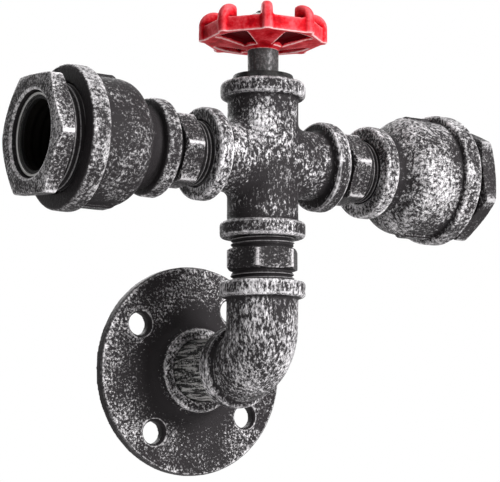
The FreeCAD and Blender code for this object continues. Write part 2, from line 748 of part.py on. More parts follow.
def rounded_path(points, radii):
    """Straight runs between points, joined by tangent arcs."""
    edges = []
    last = points[0]
    for before, here, after, radius in zip(points, points[1:], points[2:], radii):
        back = (before - here).normalize()
        ahead = (after - here).normalize()
        half = (math.pi - back.getAngle(ahead)) / 2
        trim = radius * math.tan(half)
        middle = (back + ahead).normalize()
        bulge = radius / math.cos(half) - radius
        start, end = here + back * trim, here + ahead * trim
        edges.append(Part.LineSegment(last, start).toShape())
        edges.append(Part.Arc(start, here + middle * bulge, end).toShape())
        last = end
    edges.append(Part.LineSegment(last, points[-1]).toShape())
    return Part.Wire(edges)


def make_lead(name, points, radii):
    """Insulated lead along straight runs and tangent arcs."""
    path = rounded_path(points, radii)
    radius = SIZES["lead_r"]
    circle = Part.Circle(points[0], points[1] - points[0], radius)
    tube = path.makePipeShell([Part.Wire(circle.toShape())], True, False)
    lead = doc.addObject("Part::Feature", name)
    lead.Label = name
    lead.Shape = tube
    expected = math.pi * radius ** 2 * path.Length
    if abs(tube.Volume - expected) > 0.02 * expected:
        raise RuntimeError("%s: volume %.1f, expected %.1f" % (name, tube.Volume, expected))
    print("%s: %.1f mm long, bends of %s mm" % (name, path.Length, radii))
    return lead


def make_leads():
    """Live and neutral leads of both lampholders and of the supply, as far as the wall."""
    out, up = axis_out.number, cross_z.number
    mouth = up + crimp_lift.number + SIZES["crimp_len"] / 2
    bend = SIZES["lead_turn_r"]
    apart, spread = SIZES["lead_apart"], SIZES["lead_spread"]
    crimp_y = SIZES["crimp_apart"]
    inner = crimp_y - spread * 0.6
    outer = crimp_y + spread
    for side, way in (("left", -1), ("right", 1)):
        for pole, hand in (("live", -1), ("neutral", 1)):
            tail_y = hand * apart
            crimp = hand * inner
            points = [FreeCAD.Vector(way * x, y - out, z) for x, y, z in (
                (tail_back.number - SIZES["seat_gap"], tail_y, up),
                (reducer_start.number + SIZES["waist_end"], tail_y, up),
                (spread, crimp, up),
                (spread, crimp, mouth))]
            lead = make_lead("%s_%s_lead" % (side, pole), points, (SIZES["lead_ease_r"], bend))
            pieces[lead.Label] = lead
    elbow_centre = SIZES["bend_r"]
    for pole, hand in (("live", -1), ("neutral", 1)):
        points = [FreeCAD.Vector(0, y, z) for y, z in (
            (-SIZES["seat_gap"] * 10, hand * outer), (hand * outer - out, hand * outer),
            (hand * outer - out, mouth))]
        lead = make_lead("supply_%s_lead" % pole, points, (elbow_centre - hand * outer,))
        pieces[lead.Label] = lead


def make_crimp_cap(pole, hand):
    """Closed-end crimp cap that joins three leads."""
    wall = size("crimp_r") - size("crimp_bore_r")
    length, bore, radius = size("crimp_len"), size("crimp_bore_r"), size("crimp_r")
    body = turned_piece(pole + "_crimp_cap", [
        (0, bore), (0, radius), (length - wall, radius), (length, radius - wall), (length, 0),
        (length - wall, 0), (length - wall, bore)])
    place(body, (0, -axis_out + size("crimp_apart") * hand, cross_z + crimp_lift), UP)
    return body


def make_bonnet_plug():
    """Low threaded plug in the top port, bored for the valve stem."""
    bore = size("journal_r") + size("running_gap")
    deep, tall, edge = size("plug_depth"), size("plug_h"), size("band_edge")
    body = turned_piece("bonnet_plug", [
        (-deep, bore), (-deep, size("thread_r") - edge), (edge - deep, size("thread_r")),
        (0, size("thread_r")), (0, size("plug_r")), (tall / 2, size("plug_r")),
        (tall, size("plug_top_r")), (tall, bore)])
    place(body, (0, -axis_out, cross_z + size("cross_reach")), UP)
    return body


def make_valve_stem():
    """Stem: journal in the plug, thick shank, square tang for the wheel, thread for its nut."""
    body = new_body("valve_stem")
    shank = size("stem_r")
    bottom = size("plug_h") + size("end_float")
    top = size("wheel_lift") - size("cross_reach")
    groove = -size("plug_depth") - size("end_float") - size("washer_w")
    end = groove - size("clip_w") - size("stem_tail")
    tang_top = top + size("wheel_hub_h") - size("end_float")
    thread_top = tang_top + size("stem_thread_len")
    edge = size("seat_gap") * 8
    lathe(body, "stem_turning", "XY_Plane", "H_Axis", [
        (end, 0), (end, size("journal_r") - edge), (end + edge, size("journal_r")),
        (groove - size("clip_w"), size("journal_r")), (groove - size("clip_w"), size("groove_r")),
        (groove, size("groove_r")), (groove, size("journal_r")), (bottom, size("journal_r")),
        (bottom, shank - edge), (bottom + edge, shank), (top, shank),
        (top, size("stem_thread_r")), (thread_top - edge, size("stem_thread_r")),
        (thread_top, size("stem_thread_r") - edge), (thread_top, 0)])
    prism(body, "stem_tang", "YZ_Plane", polygon(size("tang"), 4, 45), top - edge,
          tang_top - top + edge)
    place(body, (0, -axis_out, cross_z + size("cross_reach")), UP)
    return body


def make_washer(name, bore, radius, width, height):
    """Flat washer about the stem, at a height over the top port."""
    body = turned_piece(name, [(0, bore), (0, radius), (width, radius), (width, bore)])
    place(body, (0, -axis_out, cross_z + size("cross_reach") + height), UP)
    return body


def make_stem_clip():
    """Retaining clip that snaps into the stem's groove."""
    width, bore, radius = size("clip_w"), size("groove_r") + size("seat_gap"), size("clip_r")
    body = turned_piece("stem_clip", [(0, bore), (0, radius), (width, radius), (width, bore)])
    gap = size("clip_w") * 2
    pocket(body, "clip_mouth", "YZ_Plane", [
        (0, -gap), (radius * 2, -gap), (radius * 2, gap), (0, gap)], as_size(0), width,
        reverse=True)
    below = -size("plug_depth") - size("end_float") - size("washer_w") - width
    place(body, (0, -axis_out, cross_z + size("cross_reach") + below), UP)
    return body


def make_handwheel():
    """Cast wheel: eight-sided rim, a humped knuckle on each corner, and a closed dished web
    whose pockets leave four wide spokes, down to a hub with a square hole."""
    body = new_body("handwheel")
    hub, tall, web = size("wheel_hub_r"), size("wheel_hub_h"), size("web_w")
    corner, rim = size("wheel_corner_r"), size("rim_w")
    flat = corner * math.cos(math.pi / KNUCKLES)
    inside = flat - rim
    lift, high = size("rim_lift"), size("rim_h")
    foot = size("band_edge")
    lathe(body, "wheel_web", "XZ_Plane", "V_Axis", [
        (0, 0), (hub - foot, 0), (hub, foot), (inside + foot, lift), (inside + foot, lift + web),
        (hub + foot, foot + web), (hub, tall - foot), (hub - foot, tall), (0, tall)])
    turn = SIZES["wheel_turn"]
    corners = [(corner * math.cos(math.radians(turn + 360 * i / KNUCKLES)),
                corner * math.sin(math.radians(turn + 360 * i / KNUCKLES)))
               for i in range(KNUCKLES)]
    prism(body, "wheel_rim", "XY_Plane", corners, lift, high)
    lathe(body, "wheel_well", "XZ_Plane", "V_Axis", [
        (0, tall), (hub - foot, tall), (hub, tall - foot), (hub + foot, foot + web),
        (inside, lift + web), (inside, lift + high), (0, lift + high)], cut=True)
    lathe(body, "wheel_under", "XZ_Plane", "V_Axis", [
        (hub, foot), (hub, -foot), (inside, -foot), (inside, lift)], cut=True)
    bulb, half, round_off = size("knuckle_r"), size("knuckle_w") / 2, size("knuckle_edge")
    knob = make_knuckle(body, bulb, half, round_off)
    bar = body.newObject("PartDesign::Pad", "knuckle_bar")
    bar.Profile = knob.Profile
    bind(bar, "Length", size("wheel_h") - bulb - lift)
    bar.Reversed = True
    repeat(body, "knuckles", knob, "Z_Axis", KNUCKLES)
    body.Tip.Originals = [knob, bar]
    inner, outer = hub + size("pocket_in"), inside - foot
    for label, deep, base in (("under", size("pocket_under"), as_size(0)),
                              ("over", -size("pocket_over"), web)):
        slope = (lift - foot) / (inside + foot - hub)
        low, far = (foot + base + deep + slope * (r - hub) for r in (inner, outer))
        end = -web if label == "under" else tall + high
        wedge = lathe(body, label + "_pocket", "XZ_Plane", "V_Axis",
                      [(inner, low), (outer, far), (outer, end), (inner, end)], cut=True,
                      angle=size("pocket_half").number * 2)
        wedge.Midplane = True
        turn_about(wedge.Profile[0], FreeCAD.Vector(0, 1, 0), turn)
        repeat(body, label + "_pockets", wedge, "Z_Axis", POCKETS)
    pocket(body, "square_hole", "XY_Plane",
           polygon(size("tang") + size("tang_gap") * 2, 4, 45), as_size(0), tall, reverse=True)
    place(body, (0, -axis_out, cross_z + size("wheel_lift")), RIGHT)
    return body


def make_knuckle(body, bulb, half, round_off):
    """Disc with a rounded edge, standing on a corner of the rim in the plane of the axis."""
    turn = SIZES["wheel_turn"]
    away = size("wheel_r") - bulb
    up = size("wheel_h") - bulb
    disc = body.newObject("Sketcher::SketchObject", "knuckle_profile")
    disc.AttachmentSupport = (origin_part(body, "XY_Plane"), [""])
    disc.MapMode = "FlatFace"
    disc.AttachmentOffset = FreeCAD.Placement(
        FreeCAD.Vector(), FreeCAD.Rotation(FreeCAD.Vector(0, 0, 1), turn))
    bind(disc, "AttachmentOffset.Base.z", up)
    a, b, c, r = away.number, bulb.number, half.number, round_off.number
    vector = FreeCAD.Vector
    rows = [(vector(a, -c, 0), vector(a + b - r, -c, 0)),
            (vector(a + b, -c + r, 0), vector(a + b, c - r, 0)),
            (vector(a + b - r, c, 0), vector(a, c, 0)),
            (vector(a, c, 0), vector(a, -c, 0))]
    for ends in rows:
        disc.addGeometry(Part.LineSegment(*ends), False)
    up_z = vector(0, 0, 1)
    low_arc = Part.Circle(vector(a + b - r, -c + r, 0), up_z, r)
    top_arc = Part.Circle(vector(a + b - r, c - r, 0), up_z, r)
    disc.addGeometry(Part.ArcOfCircle(low_arc, -math.pi / 2, 0), False)
    disc.addGeometry(Part.ArcOfCircle(top_arc, 0, math.pi / 2), False)
    for pair in ((0, 2, 4, 1), (4, 2, 1, 1), (1, 2, 5, 1), (5, 2, 2, 1), (2, 2, 3, 1),
                 (3, 2, 0, 1)):
        disc.addConstraint(Sketcher.Constraint("Coincident", *pair))
    marks = [((0, 1), away, -half), ((0, 2), away + bulb - round_off, -half),
             ((1, 1), away + bulb, round_off - half), ((1, 2), away + bulb, half - round_off),
             ((2, 1), away + bulb - round_off, half), ((2, 2), away, half)]
    for where, x, y in marks:
        for kind, value in (("DistanceX", x), ("DistanceY", y)):
            rule = disc.addConstraint(Sketcher.Constraint(kind, -1, 1, *where, value.number))
            disc.setExpression("Constraints[%d]" % rule, value.formula)
    for arc in (4, 5):
        rule = disc.addConstraint(Sketcher.Constraint("Radius", arc, r))
        disc.setExpression("Constraints[%d]" % rule, round_off.formula)
    disc.addGeometry(Part.LineSegment(vector(a, -c, 0), vector(a, c, 0)), True)
    disc.addConstraint(Sketcher.Constraint("Coincident", 6, 1, 0, 1))
    disc.addConstraint(Sketcher.Constraint("Coincident", 6, 2, 2, 2))
    knob = body.newObject("PartDesign::Revolution", "knuckle")
    knob.Profile = disc
    knob.ReferenceAxis = (disc, ["Axis0"])
    knob.Angle = 360
    return knob


for maker in (make_wall_flange, make_wall_nipple, make_elbow, make_cross, make_bonnet_plug,
              make_valve_stem, make_stem_clip, make_handwheel):
    made = maker()
    pieces[made.Label] = made
lower = make_hex_nipple("lower_hex_nipple", (0, -axis_out, size("elbow_rise")), UP,
                        "lower_hex_turn")
pieces[lower.Label] = lower
for side, rotation in SIDES.items():
    way = -1 if side == "left" else 1
    nipple = make_hex_nipple(side + "_hex_nipple", (arm_start * way, -axis_out, cross_z), rotation,
                             side + "_hex_turn")
    pieces[nipple.Label] = nipple
    for maker in (make_bell_reducer, make_hex_bushing, make_socket_sleeve, make_socket_insulator,
                  make_screw_shell, make_centre_contact, make_shell_contact, make_lamp_stud,
                  make_stud_plate):
        made = maker(side)
        pieces[made.Label] = made
    nut = make_hex_nut(side + "_stud_nut", size("stud_nut_af"), size("stud_nut_w"),
                       size("stud_r") + size("seat_gap"))
    place_on_arm(nut, side, bush_back - size("seat_gap") * 2 - size("plate_w")
                 - size("stud_nut_w"))
    pieces[nut.Label] = nut
make_leads()
for pole, hand in (("live", -1), ("neutral", 1)):
    cap = make_crimp_cap(pole, hand)
    pieces[cap.Label] = cap
hub_top = size("wheel_lift") - size("cross_reach") + size("wheel_hub_h")
seat = size("seat_gap")
washers = (
    ("thrust_washer", size("journal_r") + seat, size("washer_r"), size("washer_w"),
     -size("plug_depth") - size("end_float") - size("washer_w") + seat),
    ("wheel_washer", size("stem_thread_r") + seat, size("wheel_washer_r"), size("washer_w"),
     hub_top + seat))
for washer in washers:
    made = make_washer(*washer)
    pieces[made.Label] = made
nut = make_hex_nut("wheel_nut", size("wheel_nut_af"), size("wheel_nut_w"),
                   size("stem_thread_r") + seat)
place(nut, (0, -axis_out, cross_z + size("cross_reach") + hub_top + seat * 2 + size("washer_w")),
      UP)
pieces[nut.Label] = nut

doc.recompute()
failed = [item.Name for item in doc.Objects if {"Invalid", "Error"} & set(item.State)]
if failed:
    raise RuntimeError("failed objects: %s" % ", ".join(failed))
for name, piece in pieces.items():
    check(name, piece)
os.makedirs("parts", exist_ok=True)
for name, piece in pieces.items():
    piece.Shape.exportStep("parts/%s.step" % name)
print("%d pieces written" % len(pieces))
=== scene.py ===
import bmesh
import bpy
import math
import numpy as np
from mathutils import Matrix, Vector


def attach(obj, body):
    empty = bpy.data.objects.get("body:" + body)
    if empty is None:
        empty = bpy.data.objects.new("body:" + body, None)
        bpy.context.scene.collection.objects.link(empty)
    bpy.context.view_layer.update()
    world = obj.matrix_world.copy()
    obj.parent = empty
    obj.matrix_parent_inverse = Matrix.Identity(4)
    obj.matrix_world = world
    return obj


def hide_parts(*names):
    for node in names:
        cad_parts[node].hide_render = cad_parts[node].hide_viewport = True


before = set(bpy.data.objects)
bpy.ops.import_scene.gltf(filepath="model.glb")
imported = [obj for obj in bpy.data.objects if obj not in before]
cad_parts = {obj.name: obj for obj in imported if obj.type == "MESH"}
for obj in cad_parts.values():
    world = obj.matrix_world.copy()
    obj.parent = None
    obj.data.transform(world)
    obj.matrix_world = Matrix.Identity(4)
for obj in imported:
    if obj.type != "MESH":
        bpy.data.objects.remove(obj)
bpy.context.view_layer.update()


# --- Wall flange -----------------------------------------------------------------------------
# Round malleable iron floor flange, sand cast, with a threaded hub and four empty screw holes.
# It is blackened, then rubbed with silver, which stays on the grain, the rims and round the holes.

def node(tree, kind, sockets=(), **settings):
    """One shader node. Its sockets take plain values, or links from other nodes' sockets."""
    made = tree.nodes.new("ShaderNode" + kind)
    for key, value in settings.items():
        setattr(made, key, value)
    for key, value in dict(sockets).items():
        if isinstance(value, bpy.types.NodeSocket):
            tree.links.new(value, made.inputs[key])
        else:
            made.inputs[key].default_value = value
    return made


def new_group(name, inputs, outputs):
    """Empty shader node group with named sockets, and its two end nodes."""
    tree = bpy.data.node_groups.new(name, "ShaderNodeTree")
    for label, value in inputs:
        kind = "NodeSocketColor" if isinstance(value, tuple) else "NodeSocketFloat"
        socket = tree.interface.new_socket(name=label, in_out="INPUT", socket_type=kind)
        socket.default_value = value
    for label, kind in outputs:
        tree.interface.new_socket(name=label, in_out="OUTPUT", socket_type="NodeSocket" + kind)
    return tree, tree.nodes.new("NodeGroupInput").outputs, tree.nodes.new("NodeGroupOutput").inputs


def math_of(tree, operation, a, b):
    """Result of one operation on two values."""
    return node(tree, "Math", {0: a, 1: b}, operation=operation).outputs[0]


def times(tree, a, b):
    """Product of two values."""
    return math_of(tree, "MULTIPLY", a, b)


def plus(tree, a, b):
    """Sum of two values."""
    return math_of(tree, "ADD", a, b)


def less(tree, a, b):
    """First value less the second."""
    return math_of(tree, "SUBTRACT", a, b)


def ramp(tree, value, low, high, start=0.0, end=1.0):
    """Smooth step from start to end as the value goes from low to high."""
    return node(tree, "MapRange", {"Value": value, "From Min": low, "From Max": high,
                                   "To Min": start, "To Max": end},
                interpolation_type="SMOOTHSTEP").outputs[0]


def blend(tree, factor, a, b):
    """Colour between a and b."""
    return node(tree, "Mix", {0: factor, 6: a, 7: b}, data_type="RGBA").outputs[2]


def noise(tree, place, scale, detail, rough):
    """Noise whose grains are about 1 / scale metres across."""
    return node(tree, "TexNoise", {"Vector": place, "Scale": scale, "Detail": detail,
                                   "Roughness": rough}).outputs[0]


# Grains of 1.1 and 0.45 mm are cut off at a level that falls where more silver is wanted: in
# patches of 17 mm and on proud skin, and less in shelter. Edges get a line of their own.
silver_rub, gives, takes = new_group(
    "silver rubbed casting",
    (("Edge", 0.0), ("Proud", 0.0), ("Shelter and shade", 0.0), ("Cover", 0.5), ("Patch", 0.5),
     ("Spread", 0.35), ("Grain", 1.0), ("Stroke", 1.0), ("Dark", (0.02, 0.02, 0.02, 1)),
     ("Silver", (0.5, 0.5, 0.5, 1))),
    (("Color", "Color"), ("Roughness", "Float"), ("Metallic", "Float"), ("Height", "Float")))
flat_place = node(silver_rub, "TexCoord").outputs["Object"]
upright = node(silver_rub, "CombineXYZ", {0: 1.0, 1: 1.0, 2: gives["Stroke"]}).outputs[0]
place = node(silver_rub, "VectorMath", {0: flat_place, 1: upright},
             operation="MULTIPLY").outputs[0]
grain = noise(silver_rub, place, times(silver_rub, gives["Grain"], 900.0), 3, 0.65)
fine = noise(silver_rub, place, times(silver_rub, gives["Grain"], 2200.0), 1, 0.5)
patch = noise(silver_rub, place, 60.0, 4, 0.6)
drift = times(silver_rub, less(silver_rub, patch, 0.5), gives["Patch"])
wanted = plus(silver_rub, plus(silver_rub, gives["Cover"], drift),
              less(silver_rub, times(silver_rub, gives["Proud"], 0.55),
                   times(silver_rub, gives["Shelter and shade"], 0.5)))
level = less(silver_rub, 0.52, times(silver_rub, wanted, 0.24))
mixed = plus(silver_rub, times(silver_rub, grain, 0.72), times(silver_rub, fine, 0.28))
flecks = ramp(silver_rub, mixed, level, plus(silver_rub, level, gives["Spread"]))
line = times(silver_rub, ramp(silver_rub, gives["Edge"], 0.34, 0.85),
             ramp(silver_rub, mixed, 0.38, 0.52, 0.35, 1.0))
# Shelter also carries painted shade: where a piece marks a shaded face with it, the silver is held
# back and the casting stays dark.
reach = times(silver_rub, ramp(silver_rub, gives["Proud"], -0.7, -0.05, 0.08),
              ramp(silver_rub, gives["Shelter and shade"], 0.2, 1.0, 1.0, 0.15))
rubbed = times(silver_rub, math_of(silver_rub, "MAXIMUM", flecks, line), reach)
for label, value in (("Color", blend(silver_rub, rubbed, gives["Dark"], gives["Silver"])),
                     ("Roughness", less(silver_rub, 0.55, times(silver_rub, rubbed, 0.15))),
                     ("Metallic", times(silver_rub, rubbed, 0.16)), ("Height", mixed)):
    silver_rub.links.new(value, takes[label])


def new_material(name, group, depth, metallic=0.0, sheen=0.07, **values):
    """Material that takes colour, roughness and height from one group with its own values. Depth
    is the bump's height. A group that puts out Metallic takes the place of the plain value."""
    material = bpy.data.materials.new(name)
    material.use_nodes = True
    tree = material.node_tree
    shader = tree.nodes["Principled BSDF"]
    shader.inputs["Metallic"].default_value = metallic
    shader.inputs["Specular IOR Level"].default_value = sheen
    skin = tree.nodes.new("ShaderNodeGroup")
    skin.node_tree = group
    for key, value in values.items():
        skin.inputs[key.replace("_", " ").capitalize()].default_value = value
    for label in ("Edge", "Proud", "Shelter and shade"):
        if label in skin.inputs:
            reader = node(tree, "Attribute", attribute_name=label.lower())
            tree.links.new(reader.outputs["Fac"], skin.inputs[label])
    bump = node(tree, "Bump", {"Height": skin.outputs["Height"], "Distance": depth,
                               "Strength": 1.0})
    tree.links.new(skin.outputs["Color"], shader.inputs["Base Color"])
    tree.links.new(skin.outputs["Roughness"], shader.inputs["Roughness"])
    tree.links.new(bump.outputs["Normal"], shader.inputs["Normal"])
    if "Metallic" in skin.outputs:
        tree.links.new(skin.outputs["Metallic"], shader.inputs["Metallic"])
    return material


def lumps(points, wave, seed):
    """Value noise from -1 to 1: random values on a cubic lattice one wave apart, blended along
    each axis by 3 t^2 - 2 t^3."""
    spot = points / wave + seed * 13.7
    cell = np.floor(spot).astype(np.int64)
    t = spot - cell
    t = t * t * (3 - 2 * t)
    total = np.zeros(len(points))
    for i, j, k in np.ndindex(2, 2, 2):
        key = ((cell[:, 0] + i) * 73856093) ^ ((cell[:, 1] + j) * 19349663) \
            ^ ((cell[:, 2] + k) * 83492791)
        key = (key ^ (key >> 13)) * 1274126177 & 0x7FFFFFFF
        value = ((key ^ (key >> 15)) & 0xFFFF) / 32767.5 - 1
        weight = (t[:, 0] if i else 1 - t[:, 0]) * (t[:, 1] if j else 1 - t[:, 1]) \
            * (t[:, 2] if k else 1 - t[:, 2])
        total += value * weight
    return total


def cast_skin(points, broad, fine, seed, depth):
    """Push of each point of a cast surface: lumps of two waves, all of them inward."""
    return (lumps(points, broad, seed) * 0.6 + lumps(points, fine, seed + 1) * 0.4 - 1) * depth


def relax(values, links, count, rounds):
    """Each vertex's value becomes the mean of its own and its neighbours' mean, again and again."""
    a, b = links
    for _ in range(rounds):
        sums = np.stack([np.bincount(a, v[b], len(count)) + np.bincount(b, v[a], len(count))
                         for v in values.T], axis=1)
        values = 0.5 * values + 0.5 * sums / count[:, None]
    return values


def keep_share(mesh, label, share):
    """Store one value for each vertex of a mesh, cut to the range from -1 to 1."""
    layer = mesh.attributes.new(label, "FLOAT", "POINT")
    layer.data.foreach_set("value", np.clip(share, -1, 1).astype(np.float32))


def read_rows(items, label):
    """A vector of each item of a mesh, as rows of three."""
    values = np.empty(len(items) * 3)
    items.foreach_get(label, values)
    return values.reshape(-1, 3)


def neighbours(mesh):
    """The two vertices of each edge, as two rows, and how many edges each vertex has."""
    pairs = np.empty(len(mesh.edges) * 2, dtype=np.int64)
    mesh.edges.foreach_get("vertices", pairs)
    links = pairs.reshape(-1, 2).T
    count = np.bincount(links.ravel(), minlength=len(mesh.vertices))
    return links, np.maximum(count, 1).astype(float)


def mark_wear(mesh, fine_rounds, broad_rounds, fine_size, broad_size):
    """Edge and proud: how far a vertex stands out of the relaxed surface, over a short and a
    long reach, as a share of a size. Hollows are negative."""
    spots, normals = read_rows(mesh.vertices, "co"), read_rows(mesh.vertex_normals, "vector")
    links, count = neighbours(mesh)
    for label, rounds, scale in (("edge", fine_rounds, fine_size),
                                 ("proud", broad_rounds, broad_size)):
        rise = ((spots - relax(spots, links, count, rounds)) * normals).sum(axis=1) / scale
        keep_share(mesh, label, rise)


def even_cells(piece, cell):
    """Replace a piece's mesh by its own voxel remesh."""
    cells = piece.modifiers.new("even cells", "REMESH")
    cells.mode = "VOXEL"
    cells.voxel_size = cell
    drawn = piece.evaluated_get(bpy.context.evaluated_depsgraph_get())
    even = bpy.data.meshes.new_from_object(drawn)
    piece.modifiers.clear()
    piece.data = even
    return even


def cast_copy(name, solid, body, material, seed, cell=0.0005, wobble=0.0001,
              carve=None):
    """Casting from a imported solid: even cells, corners relaxed over two cells, and a skin pushed
    inward by lumps of two waves. Carve may move the points of the cells before that, and the
    piece is then cut into even cells again."""
    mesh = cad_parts[solid].data.copy()
    shell = bmesh.new()
    shell.from_mesh(mesh)
    bmesh.ops.remove_doubles(shell, verts=shell.verts, dist=2e-6)
    shell.to_mesh(mesh)
    shell.free()
    piece = bpy.data.objects.new(name, mesh)
    bpy.context.scene.collection.objects.link(piece)
    even = even_cells(piece, cell)
    if carve:
        even.vertices.foreach_set("co", carve(read_rows(even.vertices, "co")).ravel())
        even.update()
        even = even_cells(piece, cell)
    spots = relax(read_rows(even.vertices, "co"), *neighbours(even), 2)
    even.vertices.foreach_set("co", spots.ravel())
    even.update()
    push = cast_skin(spots, 0.0045, 0.0016, seed, wobble)
    spots += read_rows(even.vertex_normals, "vector") * push[:, None]
    even.vertices.foreach_set("co", spots.ravel())
    even.polygons.foreach_set("use_smooth", np.ones(len(even.polygons), dtype=bool))
    even.update()
    mark_wear(even, 2, 60, cell * 0.1, cell * 2.2)
    even.materials.clear()
    even.materials.append(material)
    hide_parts(solid)
    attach(piece, body)
    return piece


blackened = (0.019, 0.0168, 0.018, 1)
flange_iron = new_material("flange iron", silver_rub, 0.0004, cover=0.0, patch=1.8, spread=0.27,
                           grain=1.05, dark=blackened, silver=(0.8, 0.775, 0.79, 1))
flange = cast_copy("wall_flange_cast", "wall_flange", "fixture", flange_iron, 1)
hub_foot, disc_top, hub_top = 0.019, 0.004, 0.0105
spots = read_rows(flange.data.vertices, "co")
tilt = np.abs(read_rows(flange.data.vertex_normals, "vector")[:, 1])
reach, height = np.hypot(spots[:, 0], spots[:, 2]), -spots[:, 1]
beside_hub = np.where((height > disc_top) & (reach > hub_foot),
                      np.maximum(0.8 - (reach - hub_foot) / 0.013, -0.15), 0)
in_holes = (tilt < 0.75) & (height < 0.0065) & (reach > 0.022)
on_hub = (reach < 0.0186) & (height > hub_top)
keep_share(flange.data, "shelter and shade",
           np.where(in_holes, 0.95, np.where(on_hub, -0.5, beside_hub)))


# --- Wall nipple -----------------------------------------------------------------------------
# Short length of black steel pipe from the flange's hub to the elbow, threaded at both ends.
# Its skin is drawn lengthwise and rubbed nearly bare in streaks.

drawn_steel, gives, takes = new_group(
    "drawn steel",
    (("Stretch x", 1.0), ("Stretch y", 1.0), ("Stretch z", 1.0), ("Wear", 0.5),
     ("Dark", (0.03, 0.03, 0.03, 1)), ("Bright", (0.3, 0.3, 0.3, 1))),
    (("Color", "Color"), ("Roughness", "Float"), ("Height", "Float")))
place = node(drawn_steel, "TexCoord").outputs["Object"]
stretch = node(drawn_steel, "CombineXYZ", {0: gives["Stretch x"], 1: gives["Stretch y"],
                                           2: gives["Stretch z"]}).outputs[0]
long_way = node(drawn_steel, "VectorMath", {0: place, 1: stretch},
                operation="MULTIPLY").outputs[0]
streaks = noise(drawn_steel, long_way, 900.0, 3, 0.6)
specks = noise(drawn_steel, place, 1300.0, 2, 0.6)
both = plus(drawn_steel, times(drawn_steel, streaks, 0.65), times(drawn_steel, specks, 0.35))
level = less(drawn_steel, 0.68, times(drawn_steel, gives["Wear"], 0.3))
worn = ramp(drawn_steel, both, less(drawn_steel, level, 0.06), plus(drawn_steel, level, 0.06))
for label, value in (("Color", blend(drawn_steel, worn, gives["Dark"], gives["Bright"])),
                     ("Roughness", less(drawn_steel, 0.5, times(drawn_steel, worn, 0.15))),
                     ("Height", both)):
    drawn_steel.links.new(value, takes[label])


def dress(name, material):
    """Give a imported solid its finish."""
    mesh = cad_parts[name].data
    mesh.materials.clear()
    mesh.materials.append(material)


pipe_steel = new_material("black pipe", drawn_steel, 0.00015, 0.3, stretch_y=0.12, wear=0.5,
                          dark=(0.02, 0.02, 0.02, 1), bright=(0.5, 0.49, 0.48, 1))
dress("wall_nipple", pipe_steel)


# --- Elbow -----------------------------------------------------------------------------------
# Ninety degree malleable elbow with a band at each port, cast in one and screwed on the nipple.
# The body shows long upright streaks.

rubbed_silver = (0.78, 0.755, 0.775, 1)
elbow_iron = new_material("elbow iron", silver_rub, 0.0004, cover=0.28, patch=2.2, spread=0.3,
                          stroke=0.5, dark=blackened, silver=rubbed_silver)
cast_copy("elbow_cast", "elbow", "fixture", elbow_iron, 3)


# --- Cross -----------------------------------------------------------------------------------
# Four-way malleable cross, the heart of the light: two necks blended together, a band at each
# port. Cast iron, blackened and rubbed on its crown and on the bands' rims.

cross_iron = new_material("cross iron", silver_rub, 0.0004, cover=0.16, patch=2.2, spread=0.29,
                          stroke=0.65, dark=blackened, silver=rubbed_silver)
cast_copy("pipe_cross_cast", "pipe_cross", "fixture", cross_iron, 5, cell=0.00053)


# --- Hexagon nipples -------------------------------------------------------------------------
# Three machined steel nipples join elbow, cross and reducers. Each has a hexagon for the wrench
# and a cut pipe thread of 14 turns to the inch, of which a few turns stay in view.

axis_out, cross_height = 0.0575, 0.0832
thread_r, nipple_bore, thread_show, thread_deep = 0.013, 0.00975, 0.00445, 0.010
hex_flat, hex_wide, hex_bevel = 0.0135, 0.0086, 0.0009
nipple_pitch, nipple_cut, cut_over = 0.001814, 0.0011, 0.0015
lower_start, arm_start = 0.0337, 0.032
nipple_steps = 144
turns = {"right": np.eye(3), "left": np.diag((-1.0, 1.0, -1.0)),
         "up": np.array(((0, 0, -1), (0, 1, 0), (1, 0, 0)), dtype=float)}


def soft_profile(corners, step, rounds):
    """Closed outline (along, radius) resampled evenly, its corners rounded by averaging each
    point with its two neighbours."""
    loop = np.array(corners + corners[:1])
    lengths = np.hypot(*np.diff(loop, axis=0).T)
    along = np.concatenate(((0,), np.cumsum(lengths)))
    count = int(along[-1] / step)
    steps = np.linspace(0, along[-1], count, endpoint=False)
    line = np.stack([np.interp(steps, along, loop[:, i]) for i in (0, 1)], axis=1)
    for _ in range(rounds):
        line = (np.roll(line, 1, axis=0) + 2 * line + np.roll(line, -1, axis=0)) / 4
    return line


def rings(profile, steps, first=0.0):
    """Distance along, radius and angle of a profile's rings, from a first angle in degrees."""
    around = np.linspace(0, 2 * np.pi, steps, endpoint=False)[None, :] + math.radians(first)
    return profile[:, :1], np.repeat(profile[:, 1:], steps, axis=1), around


def ring_points(along, radius, angle):
    """Points of the rings, which stand round the x axis."""
    return np.stack((np.broadcast_to(along, radius.shape), radius * np.cos(angle),
                     radius * np.sin(angle)), axis=2).reshape(-1, 3)


def ring_piece(name, along, radius, angle, turn, at, material, body, solids, wear=None):
    """Hollow turned piece: a ring at each point of a closed profile, turned and moved into
    place. Wear holds mark_wear's four values."""
    rows, columns = radius.shape
    points = ring_points(along, radius, angle) @ turn.T + np.array(at)
    i, j = np.meshgrid(np.arange(rows), np.arange(columns), indexing="ij")
    next_i, next_j = (i + 1) % rows, (j + 1) % columns
    quads = np.stack([a * columns + b for a, b in
                      ((i, j), (i, next_j), (next_i, next_j), (next_i, j))], axis=2).reshape(-1, 4)
    corners = points[quads]
    if np.einsum("ij,ij->i", corners[:, 0], np.cross(corners[:, 1], corners[:, 2])).sum() < 0:
        quads = quads[:, ::-1]
    mesh = bpy.data.meshes.new(name)
    mesh.from_pydata(points, (), quads)
    mesh.polygons.foreach_set("use_smooth", np.ones(len(quads), dtype=bool))
    mesh.update()
    if wear:
        mark_wear(mesh, *wear)
    mesh.materials.append(material)
    piece = bpy.data.objects.new(name, mesh)
    bpy.context.scene.collection.objects.link(piece)
    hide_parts(*solids)
    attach(piece, body)
    return piece


